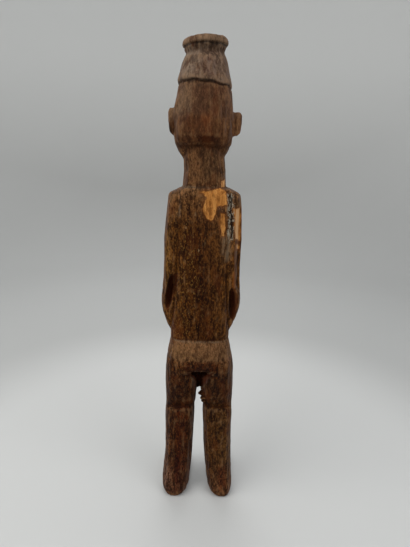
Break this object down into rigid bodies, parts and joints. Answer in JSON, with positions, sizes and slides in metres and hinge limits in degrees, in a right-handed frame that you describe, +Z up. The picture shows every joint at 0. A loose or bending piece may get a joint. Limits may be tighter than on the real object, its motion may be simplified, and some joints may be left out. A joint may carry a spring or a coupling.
{
  "type": "carved female figure",
  "caption": "Standing female figure carved from one block of dark wood, with a tall flared hat, a long neck, square shoulders, hands laid on the belly and flat feet.",
  "frame": {"origin": "middle of the figure's footprint box, on the surface it stands on", "axes": "+Z up along the figure's height, the figure faces -Y, +X towards the figure's own left hand"},
  "size_m": [0.0798, 0.0688, 0.4509],
  "materials": {
    "aged_wood": "dark brown patinated hardwood with vertical grain, worn to pale bare wood at one shoulder"
  },
  "bodies": {
    "root": {"carved_figure": "aged_wood"}
  },
  "joints": []
}
